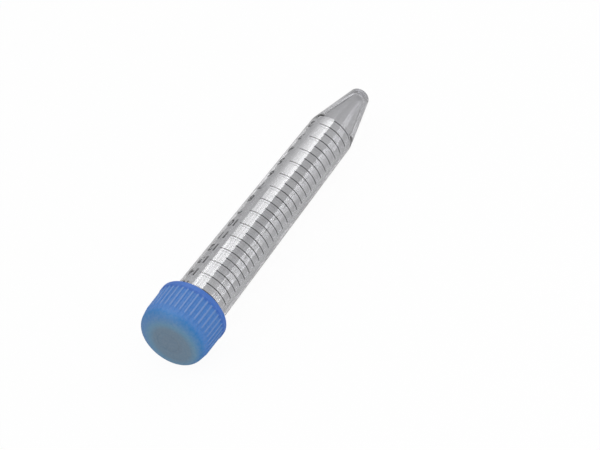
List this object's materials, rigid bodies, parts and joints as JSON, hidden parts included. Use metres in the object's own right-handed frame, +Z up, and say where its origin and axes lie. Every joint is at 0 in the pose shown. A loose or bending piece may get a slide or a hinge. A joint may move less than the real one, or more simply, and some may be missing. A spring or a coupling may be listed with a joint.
{
  "type": "conical centrifuge tube",
  "caption": "Clear tube with a conical end and printed graduations, closed by a ribbed blue screw cap and lying on its side.",
  "frame": {"origin": "on the surface the tube lies on, under the middle of its box", "axes": "+X along the tube from cap to tip, +Z up from the surface it lies on, and the tube's axis slopes down about 2.3 degrees towards the tip because the cap is wider than the shoulder"},
  "size_m": [0.1202, 0.022, 0.022],
  "materials": {
    "clear_wall": "clear, glossy, moulded",
    "blue_cap": "translucent blue, satin, moulded",
    "graduation_ink": "dark grey ink, printed on the tube's outside",
    "writing_patch": "white matt ink, printed on the tube's outside"
  },
  "bodies": {
    "tube_body": {"tube": "clear_wall"},
    "cap_body": {"cap": "blue_cap"}
  },
  "joints": [
    {"name": "cap_lift", "type": "slide", "parent": "tube_body", "child": "cap_body", "axis": [-0.9992, 0, 0.0407], "range_m": [0, 0.02]}
  ]
}
